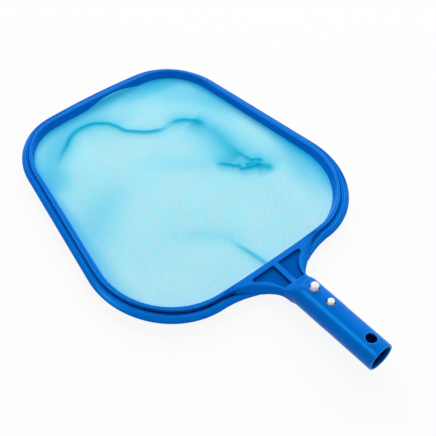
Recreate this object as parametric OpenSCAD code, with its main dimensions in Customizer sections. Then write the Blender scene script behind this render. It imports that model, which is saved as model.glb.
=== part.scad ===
// Pool leaf skimmer: a moulded frame with a tubular handle, a fine net held under the frame's rim
// by a retaining ring, and a sprung clip whose buttons lock the handle into a pole.
// The origin is the centre of the handle's open mouth. +Y runs towards the net's far edge,
// and +Z is the normal of the flat rim. All lengths are millimetres, all angles degrees.

/* [Handle tube] */
// Outside diameter of the spigot that slides into a pole
spigot_d = 29; // [27:0.5:34]
// Length of the spigot, measured along the tube from its open mouth
spigot_len = 56; // [45:1:58]
// Extra radius of the tube behind the spigot
shoulder = 0.2; // [0.2:0.1:1]
// Wall thickness of the spigot
tube_wall = 2; // [1.5:0.1:2.4]
// Angle between the tube and the flat rim
tube_tilt = 3.5; // [1:0.5:6]
// Solid wall left between the end of the bore and the slope of the neck
bore_end_wall = 1; // [1:0.5:4]

/* [Holes through the tube] */
// Diameter of the hanging hole
hang_hole_d = 11; // [6:0.5:12]
// Distance of the hanging hole from the mouth
hang_hole_y = 15.2; // [12:0.2:18]
// Distance of the lock pins from the mouth
lock_y = 64.8; // [63:0.2:68]
// Diameter of the lock pins
lock_d = 6.8; // [5:0.2:8]
// Distance of the release buttons from the mouth
release_y = 85.6; // [82:0.2:92]
// Diameter of the release buttons
release_d = 8; // [6:0.2:9]
// Gap between a pin or button and the edge of its hole
button_gap = 1.05; // [1:0.05:1.5]

/* [Spring clip] */
// Thickness of the spring strip
strip_t = 1; // [0.6:0.1:1.2]
// Width of the spring strip
strip_w = 8; // [6:0.5:9]
// Gap between the strip and the bore
strip_gap = 0.3; // [0.2:0.05:0.5]
// Distance of the clip's round bend from the mouth
bend_y = 26; // [25:0.5:30]
// Gap between the bend and each arm
hinge_gap = 0.2; // [0.15:0.05:0.4]
// Length of each arm beyond its release button
arm_tip = 6; // [5.5:0.5:8]
// Gap between the arm tips and the end of the bore
tip_gap = 2.4; // [1.5:0.1:5]
// How far a release button stands out of the tube
release_rise = 5.3; // [4:0.1:6]
// How far a lock pin stands out of the tube
lock_rise = 3; // [2.5:0.1:3.5]
// Rounding of the pins' and buttons' tops
top_round = 1.6; // [0.8:0.1:2]
// Diameter of the peg that holds a button in the strip
peg_d = 3; // [2:0.2:4]
// Gap between a peg and its hole in the strip
peg_gap = 0.1; // [0.05:0.05:0.2]
// Diameter of the peg's formed head
peg_head_d = 5; // [4.4:0.2:5.6]
// Thickness of the peg's formed head
peg_head_t = 0.8; // [0.5:0.1:1.2]

/* [Neck and gusset] */
// Steepness of the slope from the tube down to the gusset
neck_slope = 50; // [40:1:60]
// Drop from the tube's axis, where the slope starts, to the top of the gusset
neck_drop = 0.3; // [0:0.1:2]
// Distance from the foot of the slope to the rim's outer edge
gusset_len = 20.2; // [17:0.2:30]
// Radius of the fillet between the tube's side and the gusset
fillet_r = 20; // [14:1:24]
// Angle at which the fillet runs into the gusset's long curve
fillet_lean = 30; // [25:1:35]
// Steepness of the neck's underside, below the gusset
under_slope = 30; // [20:1:45]
// Half the width of the rib between the two pockets
rib_half = 3; // [1.5:0.1:4]
// Half the width of the pair of pockets at the net
pocket_top_half = 31; // [26:0.5:33]
// Half the width of the pair of pockets at the neck
pocket_foot_half = 13; // [11:0.5:14]
// Radius of the pockets' curved sides
pocket_side_r = 27; // [24:1:40]
// Height of the pockets' square upper corners
pocket_corner = 3.3; // [2:0.1:5]
// Depth of the pockets
pocket_depth = 3.6; // [2:0.1:5]
// Width of the flat land between the pockets and the net opening
pocket_land = 6.4; // [6.2:0.1:9]

/* [Rim outline] */
// Overall width of the rim
rim_w = 301.8; // [280:0.2:330]
// Radius of the two corners near the handle
near_r = 83; // [70:0.5:95]
// Angle at which the two sides draw together
side_lean = 11.3; // [5:0.1:14]
// Length of the straight sides
side_len = 134; // [100:1:160]
// Radius of the two far corners
far_r = 71; // [60:0.5:80]
// Half the angle of the far edge's shallow bow
far_bow = 3.8; // [2:0.1:8]

/* [Rim section] */
// Height of the rim from the skirt's edge to the top of the bead
skirt_drop = 7.6; // [6.6:0.1:9]
// Thickness of the skirt at its outer edge
skirt_edge = 1.6; // [1.2:0.1:2]
// Width of the sloping skirt
skirt_w = 4.9; // [4:0.1:7]
// Depth of the skirt's inner lip below the top of the bead
lip_drop = 3; // [2.6:0.1:3.4]
// Depth of the groove below the top of the bead
groove_drop = 4.2; // [3.8:0.1:5]
// Width of the groove between the skirt and the bead
groove_w = 1.7; // [1.2:0.1:2.5]
// Width of the bead
bead_w = 5.6; // [5:0.1:8]
// Rounding of the bead's shoulders
bead_round = 0.6; // [0.3:0.1:1]
// Width of the foot that presses on the net
foot_w = 1.8; // [1.4:0.1:3]
// Depth of the foot's sole below the top of the bead
foot_drop = 8.3; // [8:0.1:10]

/* [Net and retaining ring] */
// Thickness of the net's strands and hem
net_t = 0.8; // [0.6:0.1:1.2]
// Distance between the net's strands
net_pitch = 16; // [15.6:0.2:24]
// Width of the net's strands
strand_w = 1.6; // [1.2:0.1:3]
// Width of the net's hem that shows inside the foot
hem_show = 0.8; // [0.6:0.1:3]
// Gap between the hem's or ring's outer edge and the outside of the bead
seat_inset = 0.4; // [0.2:0.1:0.8]
// Width of the retaining ring that shows inside the foot
ring_show = 0.5; // [0.3:0.1:0.6]
// Thickness of the retaining ring
ring_t = 2.5; // [2:0.1:6]

/* [Hidden] */

frame_blue = [0.02, 0.42, 0.84];
net_cyan = [0.62, 0.90, 0.96];
button_white = [0.97, 0.97, 0.96];
spring_steel = [0.72, 0.74, 0.76];

spigot_r = spigot_d / 2;
bore_r = spigot_r - tube_wall;
tube_r = spigot_r + shoulder;

// The strip's outer face, where its two edges come within strip_gap of the bore
strip_face = sqrt(pow(bore_r - strip_gap, 2) - pow(strip_w / 2, 2));
hinge_y = bend_y + strip_face;
arm_end_y = release_y + arm_tip;
bore_len = arm_end_y + tip_gap;

// Where the slope of the neck starts on the tube, and where it meets the gusset
slope_y = bore_len + bore_end_wall;
slope_top = [slope_y * cos(tube_tilt) + tube_r * sin(tube_tilt), tube_r * cos(tube_tilt) - slope_y * sin(tube_tilt)];
bead_z = -slope_y * sin(tube_tilt) - neck_drop;
slope_foot_y = slope_top[0] + (slope_top[1] - bead_z) / tan(neck_slope);
skirt_z = bead_z - skirt_drop;
net_top_z = bead_z - foot_drop;
rim_y = slope_foot_y + gusset_len;

// The rim's outline, followed from the middle of the near edge round the right-hand side
near_c = [rim_w / 2 - near_r, rim_y + near_r];
side_out = [cos(side_lean), sin(side_lean)];
side_along = [-sin(side_lean), cos(side_lean)];
side_start = near_c + near_r * side_out;
side_end = side_start + side_len * side_along;
far_c = side_end - far_r * side_out;
bow_start = far_c + far_r * [sin(far_bow), cos(far_bow)];
bow_r = bow_start[0] / sin(far_bow);
bow_c = [0, bow_start[1] - bow_r * cos(far_bow)];
arc_step = 4;
bow_steps = 3;

// Distances from the rim's outer edge, going inwards
bead_out = skirt_w + groove_w;
bead_in = bead_out + bead_w;
foot_in = bead_out + bead_w + foot_w;
skirt_under = 1.6;
lip_crown = 1;
groove_side = 0.5;
wall_lean = 0.4;
foot_edge = 0.25;

// Distances at which the gusset's band, plate and near bead run into one another
strip_out = bead_out + 1.5;
plate_out = bead_out + 2;
plate_in = bead_out + 2.5;
band_in = bead_out + 3;

// The rim's sections: [distance inwards, height above the top of the bead]
skirt_points = [
    [bead_out, -skirt_drop + skirt_under],
    [skirt_under, -skirt_drop],
    [0, -skirt_drop],
    [0, -skirt_drop + skirt_edge],
    [skirt_w / 2, -lip_drop - lip_crown],
    [skirt_w, -lip_drop],
    [skirt_w + groove_side, -groove_drop],
    [bead_out, -groove_drop],
    [bead_out, -bead_round],
    [bead_out + bead_round, 0]
];
inner_points = [
    [bead_in - 2 * bead_round, 0],
    [bead_in - bead_round, -bead_round / 2],
    [bead_in, -2 * bead_round],
    [bead_in + wall_lean, -foot_drop + 2 * foot_edge],
    [foot_in, -foot_drop + foot_edge],
    [foot_in, -foot_drop]
];
edge_points = concat([[bead_out, -foot_drop]], skirt_points, inner_points);
band_points = concat([[bead_out, -skirt_drop]], skirt_points, [[band_in, 0], [band_in, -skirt_drop]]);
near_bead_points = concat([[strip_out, -foot_drop], [strip_out, 0]], inner_points);

// The triangles that close a section's end: six over the skirt, then a fan over the bead
skirt_cap = [[2, 3, 4], [2, 4, 5], [1, 2, 5], [1, 5, 7], [5, 6, 7], [1, 7, 8]];
function fan(apex, round) = [for (i = [0:len(round) - 2]) [apex, round[i], round[i + 1]]];
edge_cap = concat(skirt_cap, fan(14, [15, 16, 0, 1, 8, 9, 10, 11, 12, 13]));
band_cap = concat(skirt_cap, fan(12, [0, 1, 8, 9, 10, 11]));

// The gusset's outline: a fillet on the tube's side, then a long curve to the rim's corner
edge_end = [near_c[0], rim_y];
long_r = (edge_end[0] - tube_r - fillet_r * (1 - sin(fillet_lean))) / sin(fillet_lean);
long_c = [edge_end[0], rim_y - long_r];
fillet_c = long_c + (long_r - fillet_r) * [-sin(fillet_lean), cos(fillet_lean)];
pocket_top_y = rim_y + bead_in - pocket_land;
pocket_foot_y = slope_foot_y;

// Where the neck's underside meets the gusset's, and the block from which the neck is cut
neck_end_y = rim_y - 8;
cut_size = 60;

function heading(a) = [cos(a), sin(a)];
function steps(a) = max(2, ceil(abs(a) / arc_step));
function arc(c, r, a0, a1, n) = [for (i = [0:n]) c + r * heading(a0 + (a1 - a0) * i / n)];

// Stations along an edge: [a point on the edge, the direction that points inwards from it].
// way is -1 on an arc whose centre lies inwards, and 1 on one whose centre lies outwards
function arc_stations(c, r, a0, a1, way, n) = [
    for (i = [0:n]) let (a = a0 + (a1 - a0) * i / n) [c + r * heading(a), way * heading(a)]
];
function mirrored(stations) = [
    for (i = [len(stations) - 1:-1:0]) let (s = stations[i]) [[-s[0][0], s[0][1]], [-s[1][0], s[1][1]]]
];

// The rim from the gusset's right-hand end round to its left-hand end, anticlockwise
half_rim = concat(
    arc_stations(near_c, near_r, -90, side_lean, -1, steps(90 + side_lean)),
    arc_stations(far_c, far_r, side_lean, 90 - far_bow, -1, steps(90 - far_bow - side_lean)),
    [for (i = [1:bow_steps - 1]) let (a = 90 - far_bow * (1 - i / bow_steps))
        [bow_c + bow_r * heading(a), -heading(a)]]
);
rim_stations = concat(half_rim, [[[0, bow_c[1] + bow_r], [0, -1]]], mirrored(half_rim));

// The gusset's right-hand edge, from the tube to the rim
gusset_stations = concat(
    arc_stations(fillet_c, fillet_r, 180, 90 + fillet_lean, 1, 8),
    [for (i = [1:8]) let (a = 90 + fillet_lean * (1 - i / 8)) [long_c + long_r * heading(a), heading(a)]]
);

// The rim's closed outline, moved inwards by d
function outline(d) = [for (s = rim_stations) s[0] + d * s[1]];

// The centre of the circle of radius r through two points, on the right of the way from a to b
function circle_through(a, b, r) = let (
    chord = b - a,
    length = norm(chord),
    away = sqrt(pow(r, 2) - pow(length / 2, 2))
) (a + b) / 2 + away * [chord[1], -chord[0]] / length;

module both_sides() {
    children();
    mirror([1, 0, 0]) children();
}

module on_tube() {
    rotate([-tube_tilt, 0, 0]) children();
}

// A rod or hole of radius r along the tube, from y0 to y1
module along_tube(r, y0, y1) {
    translate([0, y0, 0]) rotate([-90, 0, 0]) cylinder(r = r, h = y1 - y0, $fn = 96);
}

// A section carried along an edge's stations, as one solid of flat facets
module sweep(stations, section, cap) {
    n = len(section);
    last = len(stations) - 1;
    points = [for (s = stations) for (p = section) [s[0][0] + p[0] * s[1][0], s[0][1] + p[0] * s[1][1], bead_z + p[1]]];
    sides = [
        for (i = [0:last - 1]) for (j = [0:n - 1])
            let (a = i * n + j, b = i * n + (j + 1) % n)
            each [[a, b + n, a + n], [a, b, b + n]]
    ];
    near_end = [for (t = cap) [t[2], t[1], t[0]]];
    far_end = [for (t = cap) t + last * n * [1, 1, 1]];
    polyhedron(points, concat(sides, near_end, far_end));
}

// Rim: a skirt, a groove and a bead, from one end of the gusset round to the other
module rim() {
    color(frame_blue) sweep(rim_stations, edge_points, edge_cap);
}

// The gusset's plate, level with the top of the bead
module gusset_plate() {
    translate([0, 0, skirt_z]) linear_extrude(skirt_drop) difference() {
        translate([-edge_end[0], fillet_c[1]]) square([2 * edge_end[0], rim_y + plate_in - fillet_c[1]]);
        both_sides() {
            translate(long_c) circle(r = long_r + plate_out, $fn = 720);
            translate(fillet_c) circle(r = fillet_r + plate_out, $fn = 240);
            translate([fillet_c[0], fillet_c[1] - 1]) square([edge_end[0], fillet_r]);
        }
    }
}

// The gusset's side of the net opening: the rim's bead, straight across
module near_bead() {
    translate([-edge_end[0], rim_y, bead_z]) rotate([90, 0, 90])
        linear_extrude(2 * edge_end[0]) polygon(near_bead_points);
}

// The pocket on the right of the middle rib
module pocket() {
    top = [pocket_top_half, pocket_top_y - pocket_corner];
    foot = [pocket_foot_half, pocket_foot_y];
    side_c = circle_through(foot, top, pocket_side_r);
    translate([0, 0, bead_z - pocket_depth]) linear_extrude(pocket_depth + 1) difference() {
        translate([rib_half, pocket_foot_y]) square([pocket_top_half - rib_half, pocket_top_y - pocket_foot_y]);
        translate(side_c) circle(r = pocket_side_r, $fn = 240);
    }
}

// What is cut off the end of the tube: above the slope of the neck and above the gusset's top
module above_neck() {
    rotate([90, 0, 90]) translate([0, 0, -cut_size / 2]) linear_extrude(cut_size) polygon([
        slope_top, [slope_foot_y, bead_z], [slope_foot_y + cut_size, bead_z],
        [slope_foot_y + cut_size, cut_size], [slope_top[0], cut_size]
    ]);
}

// What is cut off the end of the tube: below the rise of the neck's underside
module below_neck() {
    rise = cut_size * tan(under_slope);
    rotate([90, 0, 90]) translate([0, 0, -cut_size / 2]) linear_extrude(cut_size) polygon([
        [neck_end_y + cut_size, skirt_z], [neck_end_y, skirt_z], [neck_end_y - cut_size, skirt_z - rise],
        [neck_end_y + cut_size, skirt_z - rise]
    ]);
}

// A hole straight through both walls of the tube, y from the mouth
module cross_hole(d, y) {
    translate([0, y, -2 * tube_r]) cylinder(d = d, h = 4 * tube_r, $fn = 64);
}

// Handle: the tube, the neck and the gusset, which carries the near side of the net opening
module handle() {
    color(frame_blue) difference() {
        union() {
            on_tube() along_tube(spigot_r, 0, spigot_len + 1);
            difference() {
                on_tube() along_tube(tube_r, spigot_len, neck_end_y + 2);
                above_neck();
                below_neck();
            }
            sweep(gusset_stations, band_points, band_cap);
            sweep(mirrored(gusset_stations), band_points, band_cap);
            gusset_plate();
            near_bead();
        }
        on_tube() {
            along_tube(bore_r, -1, bore_len);
            cross_hole(hang_hole_d, hang_hole_y);
            cross_hole(lock_d + 2 * button_gap, lock_y);
            cross_hole(release_d + 2 * button_gap, release_y);
        }
        both_sides() pocket();
    }
}

// Net: an open weave of flat strands inside a solid hem, which is clamped under the rim's foot
module net() {
    hole = net_pitch - strand_w;
    nx = ceil(rim_w / 2 / net_pitch);
    ny = ceil((bow_c[1] + bow_r - rim_y) / net_pitch);
    color(net_cyan) translate([0, 0, net_top_z - net_t]) linear_extrude(net_t) difference() {
        polygon(outline(bead_out + seat_inset));
        intersection() {
            polygon(outline(foot_in + hem_show));
            for (i = [-nx:nx - 1]) for (j = [0:ny])
                translate([i * net_pitch + strand_w / 2, rim_y + foot_in + hem_show + j * net_pitch])
                    square(hole);
        }
    }
}

// Retaining ring: clamps the net's hem against the sole of the foot from below
module net_ring() {
    color(frame_blue) translate([0, 0, net_top_z - net_t - ring_t]) linear_extrude(ring_t) difference() {
        polygon(outline(bead_out + seat_inset));
        polygon(outline(foot_in + ring_show));
    }
}

// Clip bend: the round end of the V-shaped spring, which faces the mouth
module clip_bend() {
    color(spring_steel) on_tube() translate([0, hinge_y, 0]) rotate([0, 90, 0]) rotate([0, 0, 180])
        rotate_extrude(angle = 180, $fn = 96)
            translate([strip_face - strip_t, -strip_w / 2]) square([strip_t, strip_w]);
}

// One arm of the clip, above the tube's axis, with the holes for its two pegs
module arm() {
    arm_y = hinge_y + hinge_gap;
    difference() {
        translate([-strip_w / 2, arm_y, strip_face - strip_t]) cube([strip_w, arm_end_y - arm_y, strip_t]);
        for (y = [lock_y, release_y])
            translate([0, y, strip_face - strip_t - 1])
                cylinder(d = peg_d + 2 * peg_gap, h = strip_t + 2, $fn = 48);
    }
}

// A button of diameter d that stands rise out of the tube, on its peg and formed head
module button(d, y, rise) {
    top = tube_r + rise;
    strip_under = strip_face - strip_t;
    crown = [for (p = arc([d / 2 - top_round, top - top_round], top_round, 0, 90, 6)) p];
    translate([0, y, 0]) rotate_extrude($fn = 96) polygon(concat(
        [[0, strip_under - peg_head_t], [peg_head_d / 2, strip_under - peg_head_t], [peg_head_d / 2, strip_under]],
        [[peg_d / 2, strip_under], [peg_d / 2, strip_face], [d / 2, strip_face]],
        crown,
        [[0, top]]
    ));
}

module below_axis() {
    rotate([0, 180, 0]) children();
}

module clip_arm_top() {
    color(spring_steel) on_tube() arm();
}

module clip_arm_bottom() {
    color(spring_steel) on_tube() below_axis() arm();
}

module release_button_top() {
    color(button_white) on_tube() button(release_d, release_y, release_rise);
}

module release_button_bottom() {
    color(button_white) on_tube() below_axis() button(release_d, release_y, release_rise);
}

module lock_pin_top() {
    color(button_white) on_tube() button(lock_d, lock_y, lock_rise);
}

module lock_pin_bottom() {
    color(button_white) on_tube() below_axis() button(lock_d, lock_y, lock_rise);
}

rim();
handle();
net();
net_ring();
clip_bend();
clip_arm_top();
clip_arm_bottom();
release_button_top();
release_button_bottom();
lock_pin_top();
lock_pin_bottom();
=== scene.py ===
"""The looks of a pool leaf skimmer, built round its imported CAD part.

Lengths are worked out in millimetres and turned into metres when a mesh is made. The frame's
edge is one profile carried along one path: out of one side of the gusset, round the rim and into
the other side. The tube, neck and gusset are one smooth solid, and the net is one woven sheet.
"""

import math

import bpy
import numpy as np
from mathutils import Matrix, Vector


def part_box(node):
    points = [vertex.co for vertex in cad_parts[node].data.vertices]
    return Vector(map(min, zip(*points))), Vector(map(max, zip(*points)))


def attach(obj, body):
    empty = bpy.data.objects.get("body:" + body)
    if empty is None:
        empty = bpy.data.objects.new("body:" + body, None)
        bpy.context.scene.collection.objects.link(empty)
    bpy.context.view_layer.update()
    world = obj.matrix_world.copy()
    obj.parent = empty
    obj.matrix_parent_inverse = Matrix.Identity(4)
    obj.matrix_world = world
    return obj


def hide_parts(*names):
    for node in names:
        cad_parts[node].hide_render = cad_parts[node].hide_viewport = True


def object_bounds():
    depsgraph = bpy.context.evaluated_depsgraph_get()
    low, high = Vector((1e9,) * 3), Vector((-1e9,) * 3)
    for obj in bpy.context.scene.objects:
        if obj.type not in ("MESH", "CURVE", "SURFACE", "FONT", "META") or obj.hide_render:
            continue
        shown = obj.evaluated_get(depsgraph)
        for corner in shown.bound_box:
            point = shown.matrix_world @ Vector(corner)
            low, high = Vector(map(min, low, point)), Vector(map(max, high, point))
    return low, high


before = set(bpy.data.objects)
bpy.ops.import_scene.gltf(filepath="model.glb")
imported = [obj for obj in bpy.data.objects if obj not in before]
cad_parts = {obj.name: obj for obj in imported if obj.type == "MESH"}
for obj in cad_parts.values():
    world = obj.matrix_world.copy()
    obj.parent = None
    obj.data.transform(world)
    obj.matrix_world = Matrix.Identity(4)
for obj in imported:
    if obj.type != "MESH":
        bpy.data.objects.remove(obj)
cad_low, cad_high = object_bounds()

MM = 0.001
BODY = "frame"

# ---------- camera

CAMERA_PLACE = (-465.0, -164.3, 706.1)
CAMERA_RIGHT = (0.73642, -0.66470, 0.12595)
CAMERA_UP = (0.46117, 0.62944, 0.62540)
CAMERA_BACK = (-0.49498, -0.40247, 0.77007)
CAMERA_LENS = 78.44
CAMERA_SENSOR = 36.0


def placed(name, data, right, up, back, place):
    """A camera or lamp in the scene, at a place in metres. Its matrix has the right, up and
    backward directions as columns."""
    thing = bpy.data.objects.new(name, data)
    matrix = np.eye(4)
    matrix[:3] = np.stack([right, up, back, place], -1)
    bpy.context.scene.collection.objects.link(thing)
    thing.matrix_world = Matrix(matrix.tolist())
    return thing


def make_camera():
    """The camera, which sees from 10 mm to 20 m."""
    data = bpy.data.cameras.new("camera")
    data.sensor_width = CAMERA_SENSOR
    data.lens = CAMERA_LENS
    data.clip_start = 0.01
    data.clip_end = 20.0
    place = np.array(CAMERA_PLACE) * MM
    bpy.context.scene.camera = placed("camera", data, CAMERA_RIGHT, CAMERA_UP, CAMERA_BACK, place)


# ---------- sizes

rim_low, rim_high = (np.array(corner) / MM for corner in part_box("rim"))
net_low, net_high = (np.array(corner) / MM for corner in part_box("net"))
ring_low, ring_high = (np.array(corner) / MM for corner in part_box("net_ring"))

RIM_WIDTH = rim_high[0] - rim_low[0]
RIM_NEAR_Y = rim_low[1]
BEAD_Z = rim_high[2]
NET_Z = (net_low[2] + net_high[2]) / 2
NEAR_RADIUS = 83.0
SIDE_LEAN = math.radians(11.3)
SIDE_LENGTH = 134.0
FAR_RADIUS = 71.0
FAR_BOW = math.radians(3.8)

TUBE_TILT = math.radians(3.5)
SPIGOT_RADIUS = 14.5
SPIGOT_LENGTH = 56.0
TUBE_RADIUS = 14.7
BORE_RADIUS = 12.5
BORE_LENGTH = 94.0
NECK_SLOPE = math.radians(50.0)
SLOPE_TOP = (95.72, 8.87)
UNDER_SLOPE = math.radians(30.0)
UNDER_END = 8.0

# Each hole across the tube: its distance from the mouth and its radius
HANG_HOLE = (15.2, 5.5)
LOCK_HOLE = (64.8, 4.45)
RELEASE_HOLE = (85.6, 5.05)

SKIRT_DROP = 7.6
SKIRT_Z = BEAD_Z - SKIRT_DROP
FOOT_DROP = 8.3

# Half the gusset's width, where it meets the rim's near corners
GUSSET_HALF = 67.9

# How far the inner wall's foot stands out past the bead's top, by length along the rim past the
# near corner's start
FOOT_OUT = [
    (-GUSSET_HALF, 1.3), (0, 1.3), (50, 2.6), (85, 3.2), (135, 3.2),
    (180, 2.2), (250, 1.6), (300, 2.2), (340, 3.0), (431, 3.0),
]

# The gusset's outer edge on the right, from the tube's side to the rim's corner
GUSSET_EDGE = [
    (12.5, 97.0), (13.5, 101.0), (15.1, 104.5), (17.2, 107.5), (20.3, 111.1), (24.3, 114.8),
    (29.4, 118.1), (36.2, 121.4), (46.1, 124.7), (55.8, 127.0), (GUSSET_HALF, RIM_NEAR_Y),
]

# ---------- meshes


def make_piece(name, points, faces, smooth_angle=None):
    """A mesh piece from points in millimetres and lists of point numbers. Faces meeting at more
    than smooth_angle degrees keep a sharp edge between them."""
    mesh = bpy.data.meshes.new(name)
    mesh.from_pydata((np.asarray(points) * MM).tolist(), [], faces)
    mesh.validate()
    mesh.polygons.foreach_set("use_smooth", np.ones(len(mesh.polygons), bool))
    if smooth_angle is not None:
        mesh.set_sharp_from_angle(angle=math.radians(smooth_angle))
    mesh.update()
    piece = bpy.data.objects.new(name, mesh)
    bpy.context.scene.collection.objects.link(piece)
    return piece


def grid_faces(rows, columns, wrap_rows=False, wrap_columns=False):
    """Quads between the points of a rows x columns grid, point number = row * columns + column.
    A wrapped direction joins its last line to its first."""
    r = np.arange(rows if wrap_rows else rows - 1)[:, None]
    c = np.arange(columns if wrap_columns else columns - 1)[None, :]
    r2, c2 = (r + 1) % rows, (c + 1) % columns
    corners = [r * columns + c, r * columns + c2, r2 * columns + c2, r2 * columns + c]
    return np.stack([k + 0 * (r + c) for k in corners], -1).reshape(-1, 4)


def smoothed(x):
    """A soft step: 0 below 0, 1 above 1, and 3x^2 - 2x^3 between."""
    x = np.clip(x, 0.0, 1.0)
    return x * x * (3.0 - 2.0 * x)


def bell(x):
    """A bell: e to the power of minus x squared."""
    return np.exp(-(x**2))


def lengths_along(path):
    """The length from a path's start to each of its points."""
    return np.concatenate([[0], np.cumsum(np.linalg.norm(np.diff(path, axis=0), axis=1))])


def curve_through(points, count):
    """Points on a smooth curve through the given ones: a cubic through each span whose slope at a
    point is that of the chord between its neighbours, by chord length."""
    p = np.asarray(points, float)
    knots = lengths_along(p)
    slopes = np.gradient(p, knots, axis=0)
    t = np.linspace(0, knots[-1], count)
    i = np.clip(np.searchsorted(knots, t, side="right") - 1, 0, len(p) - 2)
    span = (knots[i + 1] - knots[i])[:, None]
    u = (t - knots[i])[:, None] / span
    return ((2 * u**3 - 3 * u**2 + 1) * p[i] + (u**3 - 2 * u**2 + u) * span * slopes[i]
            + (3 * u**2 - 2 * u**3) * p[i + 1] + (u**3 - u**2) * span * slopes[i + 1])


def spaced(path, count):
    """The same path as count points at equal lengths."""
    p = np.asarray(path, float)
    length = lengths_along(p)
    t = np.linspace(0, length[-1], count)
    return np.stack([np.interp(t, length, p[:, k]) for k in range(p.shape[1])], -1)


def resampled(path, step):
    """The same path with its points about step apart by length."""
    return spaced(path, int(round(lengths_along(path)[-1] / step)) + 1)


def arc(centre, radius, start, end, count):
    """Points on a circle between two angles in radians."""
    a = np.linspace(start, end, count)
    return np.stack([centre[0] + radius * np.cos(a), centre[1] + radius * np.sin(a)], -1)


def inward(path, closed=False):
    """The unit direction to the left of an anticlockwise path at each of its points: the
    tangent, from the points before and after, turned by a quarter turn."""
    if closed:
        tangent = np.roll(path, -1, axis=0) - np.roll(path, 1, axis=0)
    else:
        tangent = np.gradient(path, axis=0)
    tangent /= np.linalg.norm(tangent, axis=1)[:, None]
    return np.stack([-tangent[:, 1], tangent[:, 0]], -1)


CORNER_STEPS = 4


def rounded(stations, corners, steps=CORNER_STEPS):
    """A section for each station, as (stations, points, 2). A corner is given by its distance
    inwards, its height over the bead's top and its rounding, each one number or a value per
    station. It becomes a quadratic Bezier curve that starts and ends that rounding away from it
    along its two sides, but not past 0.45 of a side."""
    table = np.array([[np.broadcast_to(value, stations) for value in corner] for corner in corners])
    table = np.moveaxis(table, 2, 0)
    corners, reach = table[..., :2], table[..., 2]
    sides = [np.roll(corners, shift, axis=1) - corners for shift in (1, -1)]
    lengths = [np.linalg.norm(side, axis=2) for side in sides]
    for length in lengths:
        reach = np.minimum(reach, 0.45 * length)
    start, end = (
        (corners + side * (reach / np.maximum(length, 1e-9))[..., None])[:, :, None]
        for side, length in zip(sides, lengths)
    )
    u = np.linspace(0, 1, steps)[None, None, :, None]
    curve = (1 - u) ** 2 * start + 2 * u * (1 - u) * corners[:, :, None] + u**2 * end
    return curve.reshape(stations, -1, 2)


def store(piece, name, values):
    """Keeps one number per point of a piece under a name that its material can read."""
    attribute = piece.data.attributes.new(name, "FLOAT", "POINT")
    attribute.data.foreach_set("value", np.ascontiguousarray(values, np.float32).ravel())


def sweep(name, path, normals, sections, closed, smooth_angle=38):
    """A section carried along a path: the point at distance d inwards and height h lies at
    path + d * normal, h. An open sweep is closed by a flat face at each end."""
    d, h = sections[..., 0], sections[..., 1]
    x = path[:, 0:1] + d * normals[:, 0:1]
    y = path[:, 1:2] + d * normals[:, 1:2]
    points = np.stack([x, y, h], -1).reshape(-1, 3)
    rows, columns = d.shape
    faces = grid_faces(rows, columns, wrap_rows=closed, wrap_columns=True)[:, ::-1].tolist()
    if not closed:
        first = list(range(columns))
        last = list(range((rows - 1) * columns, rows * columns))
        faces += [first, last[::-1]]
    return make_piece(name, points, faces, smooth_angle)


def lathe(name, profile, centre, axis, sides=72, smooth_angle=35):
    """A profile turned about an axis: the point at radius r and height h lies at
    centre + h * axis + r * (cos a * u + sin a * v), u and v square to the axis. A profile that
    starts and ends at radius 0 closes with a fan at each pole."""
    axis = axis / np.linalg.norm(axis)
    u = np.cross(axis, [1.0, 0.0, 0.0])
    u /= np.linalg.norm(u)
    v = np.cross(axis, u)
    a = np.linspace(0, 2 * math.pi, sides, endpoint=False)
    around = np.cos(a)[:, None] * u + np.sin(a)[:, None] * v
    ring, poles = profile[1:-1, None], profile[[0, -1]]
    points = (centre + ring[..., 1:] * axis + ring[..., :1] * around).reshape(-1, 3)
    points = np.concatenate([points, centre + poles[:, 1:] * axis])
    faces = grid_faces(len(ring), sides, wrap_columns=True).tolist()
    k = np.arange(sides)
    k2 = (k + 1) % sides
    first, top = len(points) - 2 + 0 * k, (len(ring) - 1) * sides
    faces += np.stack([first, k2, k], -1).tolist()
    faces += np.stack([first + 1, top + k, top + k2], -1).tolist()
    return make_piece(name, points, faces, smooth_angle)


# ---------- the rim's outline

near_centre = np.array([RIM_WIDTH / 2 - NEAR_RADIUS, RIM_NEAR_Y + NEAR_RADIUS])
side_out = np.array([math.cos(SIDE_LEAN), math.sin(SIDE_LEAN)])
side_along = np.array([-math.sin(SIDE_LEAN), math.cos(SIDE_LEAN)])
side_end = near_centre + NEAR_RADIUS * side_out + SIDE_LENGTH * side_along
far_centre = side_end - FAR_RADIUS * side_out
bow_start = far_centre + FAR_RADIUS * np.array([math.sin(FAR_BOW), math.cos(FAR_BOW)])
bow_radius = bow_start[0] / math.sin(FAR_BOW)
bow_centre = np.array([0.0, bow_start[1] - bow_radius * math.cos(FAR_BOW)])

near_corner = arc(near_centre, NEAR_RADIUS, -math.pi / 2, SIDE_LEAN, 200)
far_corner = arc(far_centre, FAR_RADIUS, SIDE_LEAN, math.pi / 2 - FAR_BOW, 160)
far_side = arc(bow_centre, bow_radius, math.pi / 2 - FAR_BOW, math.pi / 2, 60)
half_rim = np.concatenate([near_corner, far_corner, far_side[1:]])

gusset_edge = curve_through(GUSSET_EDGE, 240)
PATH_STEP = 1.5
SWEEP_START = 27.0


def both_halves(half):
    """A path from the right-hand side to the far middle, carried on down the left-hand side."""
    mirrored = half[::-1] * [-1.0, 1.0]
    return np.concatenate([half, mirrored[1:]])


def there_and_back(values):
    """A value per point of such a path, from those of its right-hand half."""
    return np.concatenate([values, values[::-1][1:]])


def closed_outline(step):
    """The rim's own outline, closed by the straight near edge."""
    path = resampled(both_halves(half_rim), step)
    near = resampled([path[-1], path[0]], step)
    return np.concatenate([path, near[1:-1]])


# ---------- frame edge

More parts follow.
